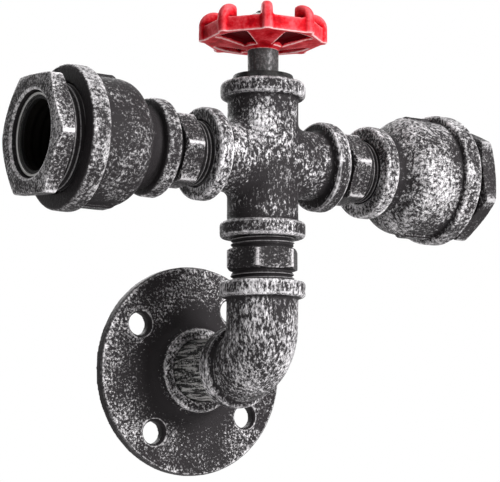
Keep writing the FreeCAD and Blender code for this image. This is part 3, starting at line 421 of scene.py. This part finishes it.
def hexagon(angle, flat, sharp=90):
    """Radius of a hexagon with softened corners: the flat over the high power mean of the
    cosines of the angles to the six faces."""
    faces = np.cos(angle[..., None] - np.radians(30 + 60 * np.arange(6)))
    return flat * (np.maximum(faces, 0) ** sharp).sum(axis=-1) ** (-1 / sharp)


def nearer(a, b, blend_size):
    """Smooth smaller of two radii, rounded over about the blend size."""
    return b - blend_size * np.logaddexp(0, (b - a) / blend_size)


def cut_thread(along, angle, pitch, depth, start, end):
    """Depth of a helical V groove with rounded crests, faded in over half a turn at its ends."""
    phase = along / pitch - angle / (2 * np.pi)
    wave = 0.5 - 0.5 * np.cos(2 * np.pi * phase)
    fade = np.clip((along - start) / pitch * 2, 0, 1) * np.clip((end - along) / pitch * 2, 0, 1)
    return depth * wave ** 0.8 * fade


nipple_steel = new_material("nipple steel", silver_rub, 0.0002, cover=0.14, patch=1.6,
                            spread=0.32, grain=1.2, dark=(0.017, 0.0152, 0.0162, 1),
                            silver=(0.5, 0.48, 0.49, 1))
corner = hex_flat / math.cos(math.pi / 6)
back, front = thread_show, thread_show + hex_wide
outline = soft_profile([
    (-thread_deep, nipple_bore), (-thread_deep, thread_r - hex_bevel),
    (-thread_deep + hex_bevel, thread_r), (back - hex_bevel * 2, thread_r),
    (back - hex_bevel, thread_r - hex_bevel), (back, thread_r - hex_bevel), (back, hex_flat),
    (back + hex_bevel, corner), (front - hex_bevel, corner), (front, hex_flat),
    (front, thread_r - hex_bevel), (front + hex_bevel, thread_r - hex_bevel),
    (front + hex_bevel * 2, thread_r), (front + thread_show + thread_deep - hex_bevel, thread_r),
    (front + thread_show + thread_deep, thread_r - hex_bevel),
    (front + thread_show + thread_deep, nipple_bore)], 0.00022, 2)
for name, turn, start, hex_turn in (
        ("lower_hex_nipple", "up", (0, -axis_out, lower_start), 18.5),
        ("left_hex_nipple", "left", (-arm_start, -axis_out, cross_height), 4.6),
        ("right_hex_nipple", "right", (arm_start, -axis_out, cross_height), -7.7)):
    along, radius, around = rings(outline, nipple_steps, hex_turn)
    wall = radius > nipple_bore + 0.001
    flats = hexagon(around - math.radians(hex_turn), hex_flat)
    radius = np.where(wall, nearer(radius, flats, 0.00012), radius)
    for low, high in ((-cut_over, back - hex_bevel * 1.6),
                      (front + hex_bevel * 1.6, front + thread_show + cut_over)):
        groove = cut_thread(along, around, nipple_pitch, nipple_cut, low, high)
        radius = radius - np.where(wall, groove, 0)
    nipple = ring_piece(name + "_cut", along, radius, around, turns[turn], start, nipple_steel,
                        "fixture", (name,), (4, 40, 0.00012, 0.0006))
    keep_share(nipple.data, "shelter and shade", np.where(radius < thread_r + 0.0002, 0.7, 0).ravel())


# --- Bell reducers ---------------------------------------------------------------------------
# Two malleable reducers that swell from the nipple to the lampholder, cast with a band at each
# mouth and two flat ribs for the wrench. Blackened, and rubbed on the bells and bands, darker at
# the waist, and with painted shade on the wide mouth's face round the bushing.

band_edge, band_wide, reducer_long = 0.0009, 0.0067, 0.044
waist_r, bell_r, big_band_r, small_band_r = 0.016, 0.025, 0.02815, 0.0196
waist_end, bell_start, waist_curve, bell_wall = 0.0077, 0.0225, 0.007, 0.0036
passage_r, port_r, port_deep, bush_port_r = 0.011, 0.01305, 0.01005, 0.02095
rib_half, rib_top, rib_run = 0.003, 0.0261, 0.005
reducer_start, bell_steps = 0.0495, 216


def arc(centre, radius, start, end, count):
    """Points of an arc from one angle to another, in degrees."""
    steps = np.radians(np.linspace(start, end, count))
    return list(zip(centre[0] + radius * np.cos(steps), centre[1] + radius * np.sin(steps)))


run, rise = bell_start - waist_end, bell_r - waist_r
both = (run * run + rise * rise) / (rise * 2)
sweep = math.degrees(math.asin(run / both))
hollow_curve = arc((waist_end, waist_r + waist_curve), waist_curve, -90, -90 + sweep, 12)
bulge = both - waist_curve
full_curve = arc((bell_start, bell_r - bulge), bulge, 90 + sweep, 90, 16)
big = reducer_long - 0.0081
outline = soft_profile(
    [(0, port_r + band_edge), (0, small_band_r - band_edge), (band_edge, small_band_r),
     (band_wide - band_edge, small_band_r), (band_wide, small_band_r - band_edge),
     (band_wide, waist_r)] + hollow_curve + full_curve +
    [(big, bell_r), (big, big_band_r - band_edge), (big + band_edge, big_band_r),
     (reducer_long - band_edge, big_band_r), (reducer_long, big_band_r - band_edge),
     (reducer_long, bush_port_r + band_edge), (reducer_long - band_edge, bush_port_r),
     (bell_start + band_edge, bush_port_r), (waist_end + bell_wall, passage_r),
     (port_deep, passage_r), (port_deep, port_r), (band_edge, port_r)], 0.00045, 2)
for side, way, seed, cover, bright, body_shelter, band_shelter in (
        ("left", -1, 7, 0.0, 0.62, 0.25, -0.5), ("right", 1, 9, 0.26, 0.8, 0.0, 0.0)):
    bell_iron = new_material(side + " bell iron", silver_rub, 0.0004, cover=cover, patch=2.0,
                             spread=0.33, grain=0.85, dark=blackened,
                             silver=(bright, bright * 0.97, bright * 0.99, 1))
    along, radius, around = rings(outline, bell_steps)
    wide = np.abs(radius * np.cos(around))
    climb = np.clip((along - (bell_start - rib_run)) / rib_run, 0, 1)
    rib = (rib_top - (1 - climb) * 0.0029) / np.maximum(np.abs(np.sin(around)), 0.5)
    on_rib = np.clip((rib_half + 0.0005 - wide) / 0.0009, 0, 1)
    outside = (radius > bell_r - 0.006) & (along > bell_start - rib_run) & (along < big + 0.0005)
    radius = np.where(outside & (rib > radius), radius + (rib - radius) * on_rib, radius)
    skin = cast_skin(ring_points(along, radius, around), 0.005, 0.0017, seed, 0.00012)
    outer = radius > bush_port_r + 0.0003
    outer |= (along < bell_start) & (radius > waist_r - 0.0004)
    radius = radius + np.where(outer, skin.reshape(radius.shape), 0)
    bell = ring_piece(side + "_bell_reducer_cast", along, radius, around, turns[side],
                      (way * reducer_start, -axis_out, cross_height), bell_iron, "fixture",
                      (side + "_bell_reducer",), (2, 70, 0.00008, 0.0012))
    # Painted shade: the wide mouth's face round the bushing is marked 0.95 and stays nearly black.
    at_mouth = (along > reducer_long - 0.0005) & (radius < big_band_r - 0.0007)
    on_band = (along > big + 0.0004) & (radius > big_band_r - 0.0006)
    on_band |= (along < band_wide - 0.0004) & (radius > small_band_r - 0.0006)
    at_waist = (along > band_wide - 0.0002) & (along < waist_end + 0.004)
    keep_share(bell.data, "shelter and shade", np.where(at_mouth, 0.95, np.where(
        on_band, band_shelter, np.where(at_waist, 0.6, body_shelter))).ravel())


# --- Hexagon bushings ------------------------------------------------------------------------
# Two cast hexagon bushings screwed into the bells, 11.5 turns to the inch. Each carries the
# lampholder on an inner lip. The left one's face is rubbed bright and its sides less. The thread
# left in view and the bore are kept dark as painted shade.

bush_thread_r, bush_deep, bush_show, bush_head = 0.0209, 0.0186, 0.0051, 0.007
bush_flat, bush_bevel, bush_bore = 0.0226, 0.0012, 0.0167
bush_mouth, bush_mouth_deep, bush_pitch, bush_cut = 0.0175, 0.0008, 0.002209, 0.0013
lip_r, lip_wide, bell_face, bush_steps = 0.012, 0.002, 0.0935, 216
corner = bush_flat / math.cos(math.pi / 6)
face = bush_show + bush_head
outline = soft_profile([
    (-bush_deep, lip_r), (-bush_deep, bush_thread_r - band_edge),
    (-bush_deep + band_edge, bush_thread_r), (bush_show - band_edge, bush_thread_r),
    (bush_show, bush_thread_r - band_edge), (bush_show, bush_flat),
    (bush_show + bush_bevel, corner), (face - bush_bevel, corner), (face, bush_flat),
    (face, bush_mouth), (face - bush_mouth_deep, bush_bore), (lip_wide - bush_deep, bush_bore),
    (lip_wide - bush_deep, lip_r)], 0.0003, 3)
for side, way, hex_turn, seed, cover, bright, side_shelter in (
        ("left", -1, -4.5, 11, 0.28, 0.78, 0.35), ("right", 1, 24.0, 13, -0.02, 0.42, 0)):
    bush_iron = new_material(side + " bushing iron", silver_rub, 0.0003, cover=cover, patch=2.0,
                             spread=0.34, grain=1.05, dark=blackened,
                             silver=(bright, bright * 0.97, bright * 0.99, 1))
    along, radius, around = rings(outline, bush_steps, hex_turn)
    wall = radius > bush_mouth + 0.0004
    flats = hexagon(around - math.radians(hex_turn), bush_flat)
    radius = np.where(wall, nearer(radius, flats, 0.0002), radius)
    groove = cut_thread(along, around, bush_pitch, bush_cut, -0.002, bush_show - 0.0004)
    radius = radius - np.where(wall & (along < bush_show), groove, 0)
    skin = cast_skin(ring_points(along, radius, around), 0.004, 0.0016, seed, 0.0001)
    radius = radius + np.where(wall, skin.reshape(radius.shape), 0)
    bushing = ring_piece(side + "_hex_bushing_cut", along, radius, around, turns[side],
                         (way * bell_face, -axis_out, cross_height), bush_iron, "fixture",
                         (side + "_hex_bushing",), (3, 60, 0.0001, 0.0009))
    # Painted shade: the thread in view between hexagon and bell, and the bore, are marked 0.8 so
    # they stay dark.
    at_mouth = (along > face - bush_mouth_deep - 0.0002) & (radius < bush_mouth + 0.0003)
    shaded_thread_and_bore = (along < bush_show - 0.0003) | (radius < bush_bore + 0.0001)
    keep_share(bushing.data, "shelter and shade",
               np.where(at_mouth, -1, np.where(shaded_thread_and_bore, 0.8, np.where(
                   along < face - bush_bevel, side_shelter, 0))).ravel())


# --- Lampholders -----------------------------------------------------------------------------
# A drawn zinc sleeve with a bright rolled edge, a moulded phenolic insulator, a rolled screw
# shell and two contacts make each holder. The brass parts are coloured nearly black, as painted
# shade deep inside the holder, and the shell's thread is the usual 3.6 mm lamp thread.

plain_skin, gives, takes = new_group(
    "even skin", (("Grain", 1.0), ("Mottle", 0.1), ("Gloss", 0.5),
                  ("Tone", (0.5, 0.5, 0.5, 1)), ("Shade", (0.4, 0.4, 0.4, 1))),
    (("Color", "Color"), ("Roughness", "Float"), ("Height", "Float")))
place = node(plain_skin, "TexCoord").outputs["Object"]
cloud = noise(plain_skin, place, times(plain_skin, gives["Grain"], 260.0), 3, 0.6)
grit = noise(plain_skin, place, times(plain_skin, gives["Grain"], 2400.0), 2, 0.5)
share = times(plain_skin, ramp(plain_skin, cloud, 0.3, 0.7), gives["Mottle"])
for label, value in (("Color", blend(plain_skin, share, gives["Tone"], gives["Shade"])),
                     ("Roughness", plus(plain_skin, times(plain_skin, cloud, 0.15),
                                        less(plain_skin, 0.8, gives["Gloss"]))),
                     ("Height", plus(plain_skin, times(plain_skin, cloud, 0.3), grit))):
    plain_skin.links.new(value, takes[label])
sleeve_zinc = new_material("dark zinc", plain_skin, 0.00003, 0.9, mottle=0.6, gloss=0.5,
                           tone=(0.34, 0.335, 0.33, 1), shade=(0.2, 0.196, 0.19, 1))
phenolic = new_material("black phenolic", plain_skin, 0.00002, grain=0.8, mottle=0.5, gloss=0.42,
                        tone=(0.012, 0.012, 0.013, 1), shade=(0.022, 0.02, 0.018, 1))
# Painted shade: the shell and contacts sit deep in the holder, and their colour is made nearly
# black to stand for the shade there.
shaded_brass = new_material("shaded lamp brass", plain_skin, 0.00002, sheen=0.01, grain=0.7, mottle=0.7,
                     gloss=0.1, tone=(0.007, 0.0062, 0.0055, 1),
                     shade=(0.004, 0.0036, 0.0032, 1))
lamp_pitch, lamp_cut, shell_steps = 0.00363, 0.0006, 120
shell_bore, shell_wall, shell_long, shell_start = 0.0133, 0.0004, 0.0148, 0.08625
for side, way in (("left", -1), ("right", 1)):
    dress(side + "_socket_sleeve", sleeve_zinc)
    dress(side + "_socket_insulator", phenolic)
    dress(side + "_centre_contact", shaded_brass)
    dress(side + "_shell_contact", shaded_brass)
    outline = soft_profile([(0, shell_bore), (0, shell_bore + shell_wall),
                            (shell_long, shell_bore + shell_wall), (shell_long, shell_bore)],
                           0.00025, 1)
    along, radius, around = rings(outline, shell_steps)
    radius = radius - cut_thread(along, around, lamp_pitch, lamp_cut, 0.0008,
                                 shell_long - 0.0004)
    ring_piece(side + "_screw_shell_rolled", along, radius, around, turns[side],
               (way * shell_start, -axis_out, cross_height), shaded_brass, "fixture",
               (side + "_screw_shell",))


# --- Lampholder fixings ----------------------------------------------------------------------
# Zinc plated hollow stud, round plate and nut, which clamp each holder against the bushing's lip.

zinc = new_material("bright zinc", plain_skin, 0.00003, 0.9, grain=1.2, mottle=0.5, gloss=0.48,
                    tone=(0.5, 0.49, 0.47, 1), shade=(0.36, 0.36, 0.37, 1))
for side in ("left", "right"):
    for part in ("lamp_stud", "stud_plate", "stud_nut"):
        dress("%s_%s" % (side, part), zinc)


# --- Leads and crimps ------------------------------------------------------------------------
# Brown and blue insulated leads run inside the fittings to two closed-end nylon crimps.

brown = new_material("brown insulation", plain_skin, 0.00002, grain=0.6, mottle=0.5,
                     gloss=0.36, tone=(0.12, 0.045, 0.02, 1), shade=(0.08, 0.03, 0.014, 1))
blue = new_material("blue insulation", plain_skin, 0.00002, grain=0.6, mottle=0.5,
                    gloss=0.36, tone=(0.03, 0.09, 0.32, 1), shade=(0.02, 0.06, 0.22, 1))
nylon = new_material("crimp nylon", plain_skin, 0.00002, grain=0.6, mottle=0.4,
                     gloss=0.4, tone=(0.75, 0.73, 0.66, 1), shade=(0.62, 0.6, 0.54, 1))
for end in ("supply", "left", "right"):
    dress(end + "_live_lead", brown)
    dress(end + "_neutral_lead", blue)
for pole in ("live", "neutral"):
    dress(pole + "_crimp_cap", nylon)


# --- Bonnet plug and stem --------------------------------------------------------------------
# A low turned plug closes the cross's top port and guides a rough grey steel stem, which is
# held below by a washer and a clip.

plug_iron = new_material("plug iron", plain_skin, 0.00012, 0.2, grain=1.3, mottle=0.9, gloss=0.3,
                         tone=(0.012, 0.012, 0.012, 1), shade=(0.05, 0.049, 0.048, 1))
stem_steel = new_material("rough stem", drawn_steel, 0.0002, 0.2, stretch_z=0.7, wear=0.5,
                          dark=(0.045, 0.0435, 0.044, 1), bright=(0.095, 0.092, 0.094, 1))
dress("bonnet_plug", plug_iron)
dress("valve_stem", stem_steel)
for part in ("thrust_washer", "stem_clip", "wheel_washer", "wheel_nut"):
    dress(part, zinc)


# --- Handwheel -------------------------------------------------------------------------------
# Cast valve wheel with an eight-sided rim, eight knuckles and four wide dished spokes, brushed
# with red enamel that is worn pale along the edges. The enamel's colour has painted shade in the
# pockets under the web and a painted sheen on proud faces.

worn_paint, gives, takes = new_group(
    "worn enamel with painted light",
    (("Edge", 0.0), ("Proud", 0.0), ("Shelter and shade", 0.0), ("Shade and mottle", (0.08, 0.001, 0.003, 1)),
     ("Body", (0.5, 0.004, 0.01, 1)), ("Light", (0.7, 0.07, 0.085, 1)),
     ("Bare", (0.9, 0.55, 0.55, 1))),
    (("Color", "Color"), ("Roughness", "Float"), ("Height", "Float")))
place = node(worn_paint, "TexCoord").outputs["Object"]
cloud = noise(worn_paint, place, 170.0, 3, 0.6)
grit = noise(worn_paint, place, 800.0, 3, 0.6)
# Painted light: the darkest red stands for painted shade in the pockets, and the lightest red for a
# painted sheen on proud faces; both also fall in random patches from the cloud noise. The body red
# is the enamel's own colour and the pale colour is wear on the edges.
pocket_shade = ramp(worn_paint, gives["Shelter and shade"], 0.35, 1.0)
lift = plus(worn_paint, less(worn_paint, times(worn_paint, gives["Proud"], 0.6),
                             times(worn_paint, pocket_shade, 0.6)), cloud)
colour = blend(worn_paint, ramp(worn_paint, lift, 0.1, 0.55), gives["Shade and mottle"], gives["Body"])
gritty = plus(worn_paint, lift, times(worn_paint, grit, 0.5))
colour = blend(worn_paint, ramp(worn_paint, gritty, 0.65, 1.1), colour, gives["Light"])
under_edge = ramp(worn_paint, gives["Shelter and shade"], 0.05, 0.22, 0.1, 1.0)
broken = ramp(worn_paint, plus(worn_paint, cloud, grit), 0.7, 1.05, 0.3, 1.0)
bare = times(worn_paint, ramp(worn_paint, gives["Edge"], 0.22, 0.5),
             times(worn_paint, under_edge, broken))
for label, value in (("Color", blend(worn_paint, bare, colour, gives["Bare"])),
                     ("Roughness", plus(worn_paint, 0.36, times(worn_paint, grit, 0.25))),
                     ("Height", plus(worn_paint, times(worn_paint, cloud, 0.6), grit))):
    worn_paint.links.new(value, takes[label])
enamel = new_material("red enamel", worn_paint, 0.00018, sheen=0.02)
wheel_base, wheel_hub = cross_height + 0.0455, 0.0069
pocket_start, pocket_end, pocket_half, pocket_turn, pocket_wall = 0.0081, 0.0213, 22, 15, 0.0006
roof_lift, roof_slope, rim_start, rim_step = 0.0033, 0.196, 0.0185, 0.0012


def pocket_share(spots):
    """How far inside a pocket's outline each point is, from 0 to 1 over its steep wall, and the
    height of the pocket's roof there."""
    reach = np.hypot(spots[:, 0], spots[:, 1] + axis_out)
    bearing = np.degrees(np.arctan2(spots[:, 1] + axis_out, spots[:, 0])) - pocket_turn
    from_middle = np.abs((bearing + 45) % 90 - 45)
    inside = np.clip((pocket_half - from_middle) * np.radians(1) * reach / pocket_wall, 0, 1)
    inside *= np.clip((reach - pocket_start) / pocket_wall, 0, 1) \
        * np.clip((pocket_end - reach) / pocket_wall, 0, 1)
    roof = wheel_base + roof_lift + roof_slope * (reach - wheel_hub)
    return inside, roof + rim_step * np.clip((reach - rim_start) / 0.001, 0, 1)


def carve_pockets(spots):
    """Lift the web's underside to the roof of four pockets."""
    inside, roof = pocket_share(spots)
    spots[:, 2] += inside * np.maximum(roof - spots[:, 2], 0)
    return spots


wheel = cast_copy("handwheel_cast", "handwheel", "valve_wheel", enamel, 15, 0.00036, 0.00008,
                  carve_pockets)
# Painted shade: the pockets' walls and roofs are marked 1, which turns the enamel its darkest red
# there; faces that look down get up to 0.3, which only lets the pale wear show on their edges.
spots = read_rows(wheel.data.vertices, "co")
inside, roof = pocket_share(spots)
under = np.maximum(-read_rows(wheel.data.vertex_normals, "vector")[:, 2], 0)
keep_share(wheel.data, "shelter and shade",
           np.where((inside > 0.3) & (spots[:, 2] < roof + 0.0002), 1, under * 0.3))


# --- Studio ----------------------------------------------------------------------------------
# Plain pale floor under the light, a soft lamp to the right of the camera, weaker ones above and
# behind, and an even pale surround. The camera stands at the photograph's angle.

ground = bpy.data.meshes.new("floor")
half, low = 1.2, -0.13
ground.from_pydata([(-half, -half, low), (half, -half, low), (half, half, low), (-half, half, low)],
                   (), [(0, 1, 2, 3)])
floor = bpy.data.objects.new("floor", ground)
bpy.context.scene.collection.objects.link(floor)
pale = new_material("pale floor", plain_skin, 0.00001, grain=0.1, mottle=0.2, gloss=0.05,
                    tone=(0.86, 0.86, 0.86, 1), shade=(0.82, 0.82, 0.82, 1))
tree = pale.node_tree
shader = tree.nodes["Principled BSDF"]
shader.inputs["Emission Color"].default_value = (1, 1, 1, 1)
shine = times(tree, node(tree, "LightPath").outputs["Is Camera Ray"], 0.65)
tree.links.new(shine, shader.inputs["Emission Strength"])
ground.materials.append(pale)

focal_px, photo_px, sensor, distance = 1788.27, 500, 36, 0.7208
heading, pitch, roll = math.radians(33.56), math.radians(-7.2), math.radians(0.22)
target = Vector((-0.00608, -0.0575, cross_height - 0.03333))
away = Vector((-math.sin(heading) * math.cos(pitch), -math.cos(heading) * math.cos(pitch),
               math.sin(pitch)))
level_right = (-away).cross(Vector((0, 0, 1))).normalized()
level_up = level_right.cross(-away)
right = math.cos(roll) * level_right + math.sin(roll) * level_up
up = -math.sin(roll) * level_right + math.cos(roll) * level_up
lens = bpy.data.cameras.new("camera")
lens.sensor_width = sensor
lens.lens = focal_px / photo_px * sensor
camera = bpy.data.objects.new("camera", lens)
stand = Matrix((right, up, away)).transposed().to_4x4()
stand.translation = target + away * distance
camera.matrix_world = stand
bpy.context.scene.collection.objects.link(camera)
bpy.context.scene.camera = camera

for name, spot, power, wide in (
        ("key", away * 0.6 + right * 0.75 + Vector((0, 0, 0.3)), 14.0, 0.3),
        ("top", away * 0.2 + right * 0.1 + Vector((0, 0, 0.85)), 3.5, 0.5),
        ("back", away * -0.75 - right * 0.35 + Vector((0, 0, 0.4)), 7.0, 0.5)):
    lamp = bpy.data.lights.new(name, "AREA")
    lamp.energy = power
    lamp.size = wide
    holder = bpy.data.objects.new(name, lamp)
    holder.location = target + spot
    holder.rotation_euler = (-spot).to_track_quat("-Z", "Y").to_euler()
    bpy.context.scene.collection.objects.link(holder)

bpy.context.scene.view_settings.view_transform = "Standard"
world = bpy.data.worlds.new("surround")
bpy.context.scene.world = world
world.use_nodes = True
tree = world.node_tree
rays = node(tree, "LightPath").outputs
seen = math_of(tree, "MAXIMUM", math_of(tree, "MAXIMUM", rays["Is Camera Ray"],
                                        rays["Is Glossy Ray"]), rays["Is Transmission Ray"])
strength = node(tree, "Mix", {0: seen, 2: 0.18, 3: 1.0}, data_type="FLOAT").outputs[0]
tree.nodes["Background"].inputs["Color"].default_value = (1, 1, 1, 1)
tree.links.new(strength, tree.nodes["Background"].inputs["Strength"])
